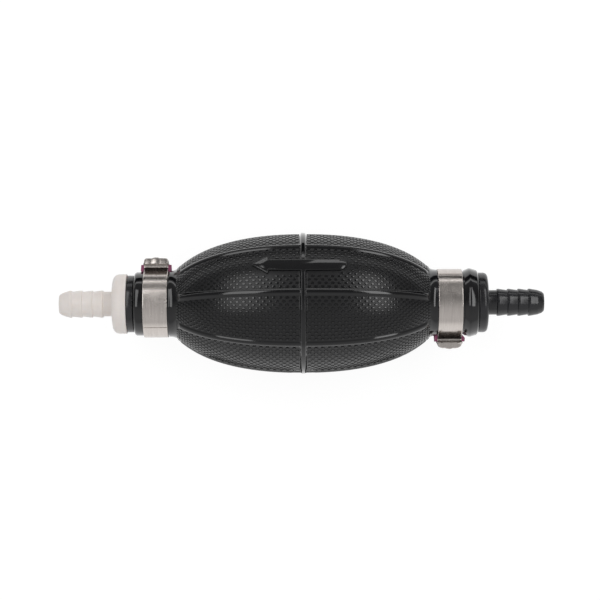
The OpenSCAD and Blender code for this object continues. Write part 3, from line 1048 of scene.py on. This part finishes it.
@dataclass
class HoseBarb:
    """A moulded fitting: a flange, a four-crest hose barb and what it carries inside the neck."""

    end: End
    hub: Hub
    hub_from: float
    hub_radius: float
    flange_at: float
    flange_thickness: float
    flange_radius: float
    flange_rounding: float
    barb_length: float
    socket_floor: float = 0
    socket_radius: float = 8.45
    crest_radius: float = 5.5
    root_radius: float = 5
    tip_radius: float = 3.7
    crest_count: int = 4
    crest_pitch: float = 4.2
    crest_rise: float = 0.25
    crest_land: float = 0.7
    stub: float = 3.8
    nose: float = 2.6
    nose_fullness: float = 0.25
    bore: float = 2.8
    mouth_radius: float = 6
    mouth_depth: float = 5
    steps: int = 96

    def _barb(self) -> list[Corner]:
        """Draws the barb's outside.

        Returns:
            Its corners, from the flange's face to the tip.
        """
        base = self.flange_at + self.flange_thickness
        tip = base + self.barb_length
        corners: list[Corner] = [(base, self.root_radius, 0.5)]
        for k in range(self.crest_count):
            at = base + self.stub + k * self.crest_pitch
            corners += [
                (at, self.root_radius, 0.12),
                (at + self.crest_rise, self.crest_radius, 0.16),
                (at + self.crest_rise + self.crest_land, self.crest_radius, 0.3)]
        cheek = (self.root_radius + 2 * self.tip_radius) / 3 + self.nose_fullness
        return corners + [
            (tip - self.nose, self.root_radius, 1.5), (tip - self.nose / 3, cheek, 1.2),
            (tip, self.tip_radius, 0.4), (tip, self.bore, 0.35)]

    def _inside(self) -> list[Corner]:
        """Draws the bore and what is inside the neck.

        Returns:
            Their corners, from the bore back to the flange.
        """
        if self.hub is Hub.SPIGOT:
            return [
                (self.hub_from + self.mouth_depth, self.bore, 1.0),
                (self.hub_from, self.mouth_radius, 0.2), (self.hub_from, self.hub_radius, 0.4),
                (self.flange_at, self.hub_radius)]
        return [
            (self.socket_floor, self.bore, 0.2), (self.socket_floor, self.socket_radius, 0.3),
            (self.hub_from, self.socket_radius, 0.3), (self.hub_from, self.hub_radius, 0.3),
            (self.flange_at, self.hub_radius)]

    def dress(self, place: Place, finish: Moulded) -> None:
        """Makes the fitting.

        Args:
            place: The piece's name, slot, solid and body.
            finish: Its finish.
        """
        face = self.flange_at + self.flange_thickness
        corners = [
            (self.flange_at, self.flange_radius, 0.35),
            (face, self.flange_radius, self.flange_rounding), *self._barb(), *self._inside()]
        outline = fillet([(self.end.value * c[0], *c[1:]) for c in corners], closed=True)
        make_piece(lathe(outline, self.steps), place, finish.material())


@dataclass
class ValveCartridge:
    """The outlet valve's cartridge, whose rim shows as a black ring beside the neck."""

    body_from: float = 44.5
    sleeve_radius: float = 10.35
    rim_from: float = 68.2
    rim_to: float = 71.2
    rim_radius: float = 11.5
    socket_radius: float = 8.45
    chamber_from: float = 47.6
    chamber_radius: float = 6.6
    step_at: float = 60
    port_radius: float = 3.6
    steps: int = 96

    def dress(self, place: Place) -> None:
        """Makes the cartridge.

        Args:
            place: The piece's name, slot, solid and body.
        """
        outline = fillet([
            (-self.body_from, self.port_radius, 0.2), (-self.body_from, self.sleeve_radius, 0.4),
            (-self.rim_from, self.sleeve_radius), (-self.rim_from, self.rim_radius, 0.6),
            (-self.rim_to, self.rim_radius, 0.5), (-self.rim_to, self.socket_radius, 0.2),
            (-self.step_at, self.socket_radius), (-self.step_at, self.chamber_radius),
            (-self.chamber_from, self.chamber_radius), (-self.chamber_from, self.port_radius)
        ], closed=True)
        make_piece(lathe(outline, self.steps), place, BLACK_NYLON.material())


# ---- the clamps ----


@dataclass
class EarClamp:
    """A one-ear clamp of thin steel strip, crimped round a neck, with its plastic shim."""

    end: End
    # The strip, and the angles between which its loose end lies over it
    tail_from: float
    tail_to: float
    tail_thickness: float = 0.18
    tail_sunk: float = 0.02
    tail_inset: float = 0.05
    tail_round_share: float = 0.6
    tail_steps: int = 20
    centre: float = 59.4
    width: float = 9.85
    thickness: float = 0.6
    inner_radius: float = 12.9
    edge_round: float = 0.22
    edge_turn: float = math.radians(60)
    slices: int = 26
    arc_steps: int = 44
    # The ear's outline, from its top down to the band
    ear_top: float = 18.9
    brow_half: float = 3
    brow_drop: float = 0.2
    head_half: float = 4.1
    cheek_at: float = 16.15
    lip_at: float = 15.75
    lip_inset: float = 0.45
    waist_half: float = 1.35
    waist_top: float = 15.6
    waist_foot: float = 14.6
    foot_angle: float = math.radians(22.5)
    foot_round: float = 0.9
    toe_angle: float = math.radians(7)
    # The crimped lobes of the ear's head
    crimp_from: float = 15.85
    crimp_run: float = 1.5
    lobe_grooves: Corner = (-1.9, 1.3)
    lobe_groove: float = 0.14
    lobe_spread: float = 0.4
    cheek_groove: float = 0.05
    crown_rise: float = 0.35
    crown_spread: float = 1.5
    corner_width: float = 1.2
    corner_drop: float = 1.1
    corner_pinch: float = 0.1
    # Painted shade on the ear's legs, in the crease under the head, and a lighter darkening of
    # the head
    shade_from: float = 12.8
    shade_to: float = 14.6
    shade_reach: float = 5.6
    head_darkening: float = 0.22
    # The shim
    shim_overhang: float = 1.25
    shim_top: float = 15.8
    shim_foot_half: float = 2.3
    shim_foot_height: float = 0.8
    shim_crown_half: float = 0.7
    shim_crown_height: float = 0.7
    shim_clearance: float = 0.05
    shim_round: float = 0.2
    shim_cut_gap: float = 0.1

    def _strip(self) -> list[Vector]:
        """Draws the outer face of the strip.

        Returns:
            Its (sideways, outwards) points, once round from the ear's top.
        """
        radius = self.inner_radius + self.thickness
        foot = radius * Vector((math.sin(self.foot_angle), math.cos(self.foot_angle)))
        turn = self.foot_angle + self.toe_angle
        onward = radius * Vector((math.sin(turn), math.cos(turn)))
        ear = fillet([
            (0, self.ear_top), (self.brow_half, self.ear_top - self.brow_drop, 0.55),
            (self.head_half, self.cheek_at, 0.4),
            (self.head_half - self.lip_inset, self.lip_at, 0.25),
            (self.waist_half, self.waist_top, 0.2), (self.waist_half, self.waist_foot, 0.35),
            (*foot, self.foot_round), (*onward,)], closed=False, steps=5)
        arc = [turn + (math.pi - turn) * k / self.arc_steps
               for k in range(1, self.arc_steps + 1)]
        side = ear + [radius * Vector((math.sin(a), math.cos(a))) for a in arc]
        return side + [Vector((-p.x, p.y)) for p in reversed(side[1:-1])]

    def _crimp(self, bm: BMesh) -> None:
        """Presses three lobes into the ear's head, rounds its ends and raises its crown.

        Args:
            bm: The bent strip, which has no thickness yet.
        """
        for v in bm.verts:
            x, side, out = v.co
            ease = min((out - self.crimp_from) / self.crimp_run, 1)
            if ease <= 0:
                continue
            groove = sum(math.exp(-((x - g) / self.lobe_spread) ** 2) for g in self.lobe_grooves)
            end = max(0, abs(x) - (self.width / 2 - self.corner_width)) / self.corner_width
            drop = self.corner_drop * (1 - math.sqrt(max(0, 1 - end * end)))
            crown = self.crown_rise * (math.exp(-(x / self.crown_spread) ** 2) - 1)
            pinch = self.cheek_groove * groove + self.corner_pinch * drop
            out += ease * (crown - drop - self.lobe_groove * groove)
            v.co = (x, side - math.copysign(ease * pinch, side), out)

    def _band(self) -> BMesh:
        """Bends the strip and rounds its edges.

        Returns:
            The band, with the ear on the side of +Z.
        """
        bm = bmesh.new()
        verts = [bm.verts.new((-self.width / 2, *p)) for p in self._strip()]
        edges = [bm.edges.new(pair) for pair in zip(verts, verts[1:] + verts[:1])]
        across = bmesh.ops.extrude_edge_only(bm, edges=edges)["geom"]
        moved = [v for v in across if isinstance(v, BMVert)]
        bmesh.ops.translate(bm, verts=moved, vec=(self.width, 0, 0))
        for k in range(1, self.slices):
            cut(bm, (self.width * (k / self.slices - 0.5), 0, 0), (1, 0, 0))
        self._crimp(bm)
        bmesh.ops.recalc_face_normals(bm, faces=bm.faces)
        if sum(f.normal.dot(Vector((0, *f.calc_center_median().yz))) for f in bm.faces) < 0:
            bmesh.ops.reverse_faces(bm, faces=bm.faces)
        bmesh.ops.solidify(bm, geom=bm.faces[:], thickness=self.thickness)
        half = self.width / 2 - TOUCH
        rims = [e for e in bm.edges if all(abs(v.co.x) > half for v in e.verts)
                and e.calc_face_angle(0) > self.edge_turn]
        round_edges(bm, rims, self.edge_round, segments=2)
        return bm

    def _add_tail(self, bm: BMesh) -> None:
        """Adds the strip's loose end, which lies over the band on the far side from the ear.

        Args:
            bm: The band.
        """
        low = self.inner_radius + self.thickness - self.tail_sunk
        half, high = self.width / 2 - self.tail_inset, low + self.tail_thickness
        soft = self.tail_thickness * self.tail_round_share
        section = fillet(
            [(-half, low), (half, low), (half, high, soft), (-half, high, soft)], closed=True)
        sweep(bm, section, self.tail_from, self.tail_to - self.tail_from, self.tail_steps)

    def _shim(self, lip_radius: float, shoulder_radius: float) -> BMesh:
        """Models the shim under the ear, whose ends stick out past the band.

        Args:
            lip_radius: Radius of the lip under the shim's outer end.
            shoulder_radius: Radius of the shoulder under its inner end.

        Returns:
            The mesh, with the ear on the side of +Z.
        """
        foot, crown = self.shim_foot_half, self.shim_crown_half
        side_top = self.inner_radius + self.shim_foot_height
        crown_from = self.shim_top - self.shim_crown_height
        right = [
            (foot, self.inner_radius), (foot, side_top, 0.3), (crown, crown_from, 0.4),
            (crown, self.shim_top, 0.35)]
        left = [(-corner[0], *corner[1:]) for corner in reversed(right)]
        reach = self.width / 2 + self.shim_overhang
        bm = bmesh.new()
        outline = fillet(left[-1:] + right + left[:-1], closed=True)
        prism(bm, [(-reach, *p) for p in outline], along=(2 * reach, 0, 0))
        for sign in (-1, 1):
            cut(bm, (sign * (self.width / 2 + self.shim_cut_gap), 0, 0), (1, 0, 0))
        for v in bm.verts:
            outer = v.co.x * self.end.value > 0
            floor = (lip_radius if outer else shoulder_radius) + self.shim_clearance
            past_band = abs(v.co.x) > self.width / 2 + 2 * self.shim_cut_gap
            if past_band and floor > self.inner_radius:
                share = (self.shim_top - v.co.z) / (self.shim_top - self.inner_radius)
                v.co.z += share * (floor - self.inner_radius)
        ends = [e for e in bm.edges if all(abs(v.co.x) > reach - TOUCH for v in e.verts)]
        round_edges(bm, ends, self.shim_round, segments=2)
        return bm

    def _put_on_neck(self, bm: BMesh) -> None:
        """Turns the ear from +Z to its own side of the neck, and moves it along the axis.

        Args:
            bm: The band or the shim.
        """
        bmesh.ops.rotate(
            bm, verts=bm.verts, matrix=Matrix.Rotation(self.end.value * math.pi / 2, 3, "X"))
        bmesh.ops.translate(bm, verts=bm.verts, vec=(self.end.value * self.centre, 0, 0))
        bmesh.ops.recalc_face_normals(bm, faces=bm.faces)

    def dress(self, lip_radius: float, skin: Callable[[float], float]) -> None:
        """Makes the steel band with its ear, and the plastic shim under the ear.

        Args:
            lip_radius: Radius of the neck's lip.
            skin: Gives the radius of the bulb's skin at a place along X.
        """
        side = self.end.name.lower()
        bm = self._band()
        self._add_tail(bm)
        painted_shade = bm.verts.layers.float.new(PAINTED_SHADE)
        # Paints shade on the ear's legs and darkens the ear's head a little
        for v in bm.verts:
            if abs(v.co.y) < self.shade_reach:
                on_leg = self.shade_from < v.co.z < self.shade_to
                v[painted_shade] = 1 if on_leg else self.head_darkening * (v.co.z > self.cheek_at)
        self._put_on_neck(bm)
        make_piece(
            bm, Place(f"{side}_ear_clamp", "clamp_steel", f"{side}_clamp_band"),
            CLAMP_STEEL.material(), crease=50)
        shoulder_radius = skin(self.centre - self.width / 2 - self.shim_overhang)
        bm = self._shim(lip_radius, shoulder_radius)
        self._put_on_neck(bm)
        make_piece(
            bm, Place(f"{side}_ear_shim", "shim_plastic", f"{side}_clamp_shim"),
            MAGENTA_PLASTIC.material())


# ---- the valves inside ----


@dataclass
class ReturnSpring:
    """The light spring behind a poppet, between its guide and the poppet's disc."""

    joint: str
    lift: float = 2.2
    radius: float = 3
    wire_radius: float = 0.3
    wire_sides: int = 10
    turns: int = 5
    steps_per_turn: int = 24

    def dress(self, place: Place) -> None:
        """Winds the spring between the guide, at its low end along X, and the poppet's disc.

        Args:
            place: The piece's name, slot, solid and body.
        """
        low, high = (corner.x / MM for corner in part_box(place.node))
        angles = [TURN * k / self.wire_sides for k in range(self.wire_sides)]
        ring = [self.wire_radius * Vector((1 + math.cos(a), math.sin(a))) for a in angles]
        section = [Vector((low, self.radius)) + point for point in ring]
        steps = self.turns * self.steps_per_turn
        bm = bmesh.new()
        sweep(
            bm, section, start=0, angle=TURN * self.turns, steps=steps,
            advance=(high - low - 2 * self.wire_radius) / steps)
        bmesh.ops.recalc_face_normals(bm, faces=bm.faces)
        spring = make_piece(bm, place, SPRING_STEEL.material())
        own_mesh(spring)


@dataclass
class CheckValves:
    """The pieces inside both necks. All but the springs keep the solids' own shapes."""

    moulded: tuple[str, ...] = ("guide", "poppet")
    sealing: tuple[str, ...] = ("seal", "o_ring")

    def dress(self) -> None:
        """Gives each inner solid its finish, and winds the springs."""
        acetal, rubber = ACETAL.material(), SEAL_RUBBER.material()
        for end in ("outlet", "inlet"):
            for name in self.moulded:
                self._finish(f"{end}_{name}", acetal)
            for name in self.sealing:
                self._finish(f"{end}_{name}", rubber)
            ReturnSpring(f"{end}_valve_lift").dress(
                Place(f"{end}_return_spring", "spring_steel", f"{end}_spring"))
        self._finish("inlet_valve_body", BLACK_NYLON.material())

    @staticmethod
    def _finish(node: str, material: Material) -> None:
        """Puts one material on a solid.

        Args:
            node: The solid's name.
            material: The material.
        """
        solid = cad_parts[node]
        if not solid.material_slots:
            solid.data.materials.append(material)
        for slot in solid.material_slots:
            slot.material = material
        LOG.info("%s: %s", node, material.name)


# ---- the studio ----


@dataclass
class Studio:
    """A pale floor, a white surround and two soft lamps, seen from straight above."""

    camera_height_mm: float = 870
    frame_width_mm: float = 243.1
    frame_centre_mm: tuple[float, float] = (-1.3, 1.3)
    camera_roll: float = math.radians(0.25)
    sensor_mm: float = 36
    sight_m: float = 20
    floor_size_mm: float = 6000
    # The share of plain white in what the camera sees of the floor, and its brightness
    floor_white_share: float = 0.8
    floor_white: float = 1.12
    # How bright the surround is at each angle from straight up towards +Y, in degrees
    surround: tuple[tuple[float, float], ...] = (
        (-90, 1.0), (-78, 0.9), (-70, 0.6), (-50, 0.65), (-20, 0.55), (-5, 0.36), (15, 0.15),
        (74, 0.25), (79, 0.3), (81, 2.0), (86, 2.0), (88, 0.3), (90, 0.25))
    # Each lamp's name, its angle from straight up towards +X, its width and its brightness
    lamps: tuple[tuple[str, float, float, float], ...] = (
        ("left_lamp", math.radians(-25), 320, 2.6), ("right_lamp", math.radians(32.5), 230, 3.4))
    lamp_distance_mm: float = 900
    lamp_up: float = math.radians(22)
    lamp_length_mm: float = 1040
    # Each dark card's lowest and highest X, then its lowest and highest Y. The cards are painted
    # shade in reflections only: the far one darkens the far floor, the near ones are the bulb's
    # painted shadow on the floor beside it
    shade_cards_mm: tuple[tuple[str, Corner], ...] = (
        ("far_shade_card", (-900, 900, 110, 1610)), ("near_left_shadow_card", (-50, -5, -56, -4)),
        ("near_right_shadow_card", (5, 50, -56, -4)))

    def build(self) -> None:
        """Builds the camera, the floor, the cards of painted shade, the surround and the lamps.
        """
        self._camera()
        self._floor()
        for name, sides in self.shade_cards_mm:
            self._shade_card(name, *sides)
        self._surround()
        for lamp in self.lamps:
            self._lamp(*lamp)

    def _camera(self) -> None:
        """Sets the camera straight above the pump, with +Y at the top of the frame."""
        data = bpy.data.cameras.new("camera")
        data.sensor_width = self.sensor_mm
        data.lens = self.sensor_mm * self.camera_height_mm / self.frame_width_mm
        data.clip_end = self.sight_m
        camera = put_in_scene("camera", data)
        camera.location = Vector((*self.frame_centre_mm, self.camera_height_mm)) * MM
        camera.rotation_euler = (0, 0, -self.camera_roll)
        bpy.context.scene.camera = camera

    def _floor(self) -> None:
        """Lays a pale floor under the ring. It looks white to the camera and keeps the shadow."""
        material, tree = new_tree("pale_floor")
        paths = add_node(tree, "LightPath").outputs
        bent = add_node(tree, "Math", {
            0: paths["Is Glossy Ray"], 1: paths["Is Transmission Ray"]}, operation="MAXIMUM")
        seen = add_node(tree, "Math", {0: paths["Is Camera Ray"], 1: bent}, operation="MAXIMUM")
        share = add_node(
            tree, "Math", {0: seen, 1: self.floor_white_share}, operation="MULTIPLY")
        paint = add_node(tree, "BsdfDiffuse", {"Color": linear("#f2f2f2")})
        white = add_node(tree, "Emission", {"Strength": self.floor_white})
        mixed = add_node(tree, "MixShader", {0: share, 1: paint, 2: white})
        add_node(tree, "OutputMaterial", {"Surface": mixed})
        bm = bmesh.new()
        bmesh.ops.create_grid(bm, x_segments=1, y_segments=1, size=self.floor_size_mm / 2 * MM)
        bmesh.ops.translate(bm, verts=bm.verts, vec=(0, 0, CAD_BOX[0].z))
        make_object("floor", bm, material)

    def _shade_card(self, name: str, *sides_mm: float) -> None:
        """Lays a dark card of painted shade on the floor, which only reflections show.

        Args:
            name: The card's name.
            *sides_mm: Its lowest and highest X, then its lowest and highest Y.
        """
        low_x, high_x, low_y, high_y = sides_mm
        # The card's black is painted shade, seen only in reflections
        material, tree = new_tree("painted_shade_card")
        paint = add_node(tree, "BsdfDiffuse", {"Color": linear("#2c2c2c")})
        add_node(tree, "OutputMaterial", {"Surface": paint})
        bm = bmesh.new()
        corners = [(low_x, low_y), (high_x, low_y), (high_x, high_y), (low_x, high_y)]
        height = CAD_BOX[0].z + MM
        bm.faces.new([bm.verts.new((x * MM, y * MM, height)) for x, y in corners])
        shade_card = make_object(name, bm, material)
        shade_card.visible_camera = shade_card.visible_diffuse = shade_card.visible_shadow = False

    def _surround(self) -> None:
        """Lights the pump from a surround that is brighter near the horizon than overhead."""
        world = bpy.data.worlds.new("surround")
        world.use_nodes = True
        tree = world.node_tree
        tree.nodes.clear()
        towards = add_node(tree, "TexCoord").outputs["Generated"]
        parts = add_node(tree, "SeparateXYZ", {0: towards}).outputs
        angle = add_node(tree, "Math", {0: parts["Y"], 1: parts["Z"]}, operation="ARCTAN2")
        place = add_node(tree, "MapRange", {
            "Value": angle, "From Min": -math.pi / 2, "From Max": math.pi / 2})
        profile = add_node(tree, "ValToRGB", {"Fac": place})
        stops = profile.color_ramp.elements
        brightest = max(level for _, level in self.surround)
        for degrees, _ in self.surround[1:-1]:
            stops.new((degrees + 90) / 180)
        for stop, (_, level) in zip(stops, self.surround):
            share = level / brightest
            stop.color = (share, share, share, 1)
        level = add_node(tree, "Math", {0: profile, 1: brightest}, operation="MULTIPLY")
        seen = add_node(tree, "LightPath").outputs["Is Camera Ray"]
        strength = add_node(tree, "Mix", {0: seen, 2: level, 3: 1.0}, data_type="FLOAT")
        light = add_node(tree, "Background", {"Color": (1, 1, 1, 1), "Strength": strength})
        add_node(tree, "OutputWorld", {"Surface": light})
        bpy.context.scene.world = world

    def _lamp(self, name: str, across: float, width_mm: float, radiance: float) -> None:
        """Hangs a long soft lamp beside the camera, which faces the pump.

        Args:
            name: The lamp's name.
            across: The angle at which it hangs, from straight up towards +X.
            width_mm: Its width. Its length lies along Y.
            radiance: Its brightness, where 1 is white.
        """
        data = bpy.data.lights.new(name, "AREA")
        data.shape = "RECTANGLE"
        data.size, data.size_y = width_mm * MM, self.lamp_length_mm * MM
        data.energy = radiance * math.pi * data.size * data.size_y
        towards = Vector((math.tan(across), math.tan(self.lamp_up), 1)).normalized()
        along = (Vector((0, 1, 0)) - towards.y * towards).normalized()
        turn = Matrix((along.cross(towards), along, towards)).transposed().to_4x4()
        spot = Matrix.Translation(towards * self.lamp_distance_mm * MM)
        put_in_scene(name, data).matrix_world = spot @ turn


def main() -> None:
    """Builds the studio and the pump, and reports each piece."""
    logging.basicConfig(level=logging.INFO, format="%(message)s")
    bpy.context.scene.view_settings.view_transform = "Standard"
    Studio().build()
    bulb = RubberBulb()
    bulb.dress(FlowArrow())
    HoseBarb(
        End.OUTLET, Hub.SPIGOT, hub_from=62, hub_radius=8.4, flange_at=71.2,
        flange_thickness=5.8, flange_radius=12.05, flange_rounding=2.8, barb_length=21.7,
    ).dress(Place("white_outlet_fitting", "white_nylon", "outlet_barb"), NATURAL_NYLON)
    HoseBarb(
        End.INLET, Hub.SLEEVE, hub_from=50, hub_radius=10.35, flange_at=70.6,
        flange_thickness=3.8, flange_radius=12.1, flange_rounding=1.6, barb_length=22.9,
        socket_floor=66,
    ).dress(Place("black_inlet_fitting", "black_nylon", "inlet_barb"), BLACK_NYLON)
    ValveCartridge().dress(Place("outlet_cartridge", "black_nylon", "outlet_valve_body"))
    EarClamp(
        End.OUTLET, tail_from=math.radians(150), tail_to=math.radians(225),
    ).dress(bulb.outlet_lip_radius, bulb.skin)
    EarClamp(
        End.INLET, tail_from=math.radians(148), tail_to=math.radians(215), centre=59.1,
        corner_width=2.6, corner_drop=1.7,
    ).dress(bulb.inlet_lip_radius, bulb.skin)
    CheckValves().dress()


if __name__ == "__main__":
    main()
